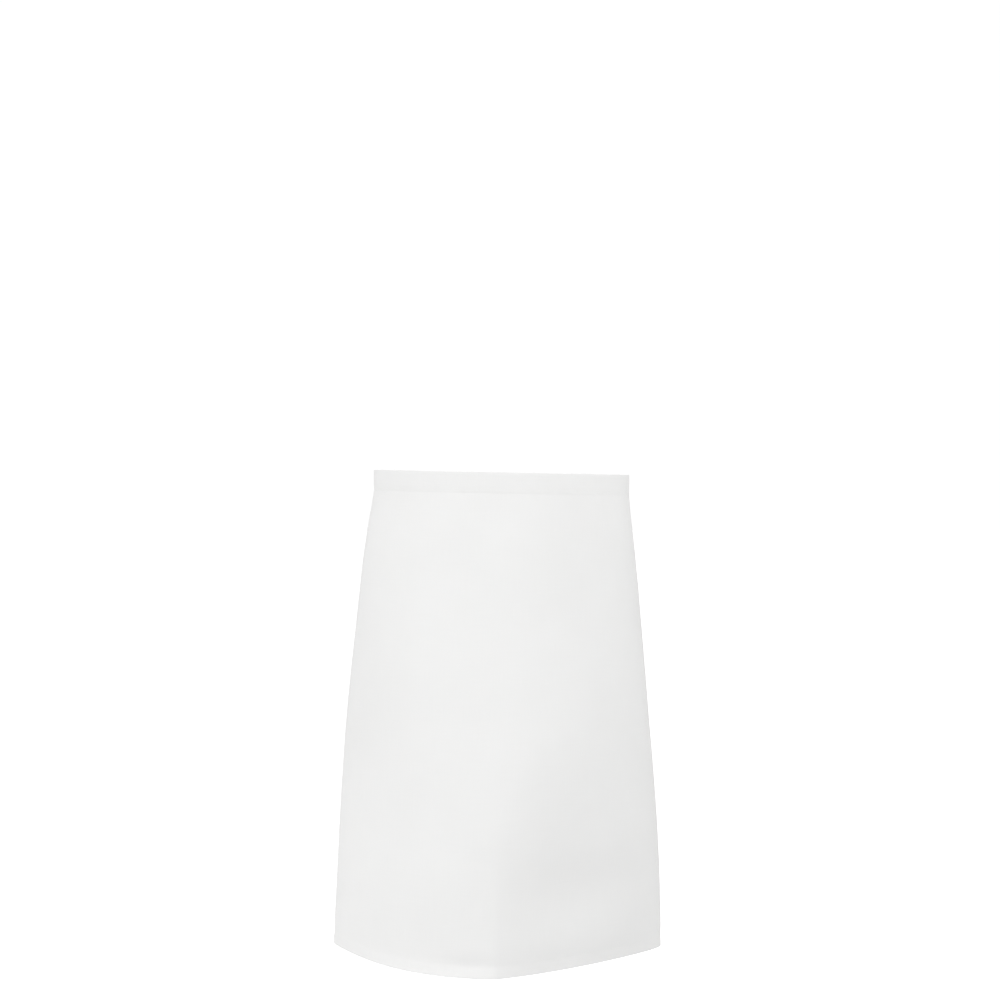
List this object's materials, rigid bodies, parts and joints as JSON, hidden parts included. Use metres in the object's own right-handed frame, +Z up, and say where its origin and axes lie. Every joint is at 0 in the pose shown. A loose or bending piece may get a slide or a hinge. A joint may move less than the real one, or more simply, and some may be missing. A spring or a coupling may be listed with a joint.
{
  "type": "waist apron",
  "caption": "Plain white waist apron in its worn form: a hemmed cloth panel that wraps round the hips from a folded waistband, with tape ties knotted behind.",
  "frame": {"origin": "centre of the waist opening, level with the waistband's top edge", "axes": "+Z up along the wearer, -Y out of the apron's front, +X to the right as seen from the front"},
  "size_m": [0.4187, 0.3, 0.6099],
  "materials": {
    "cloth": "plain woven white cotton blend, matte",
    "tape": "white twill tape, matte"
  },
  "bodies": {
    "root": {"apron_panel": "cloth", "waistband": "cloth", "tie_left": "tape", "tie_right": "tape", "tie_knot": "tape", "tie_end_left": "tape", "tie_end_right": "tape"}
  },
  "joints": []
}
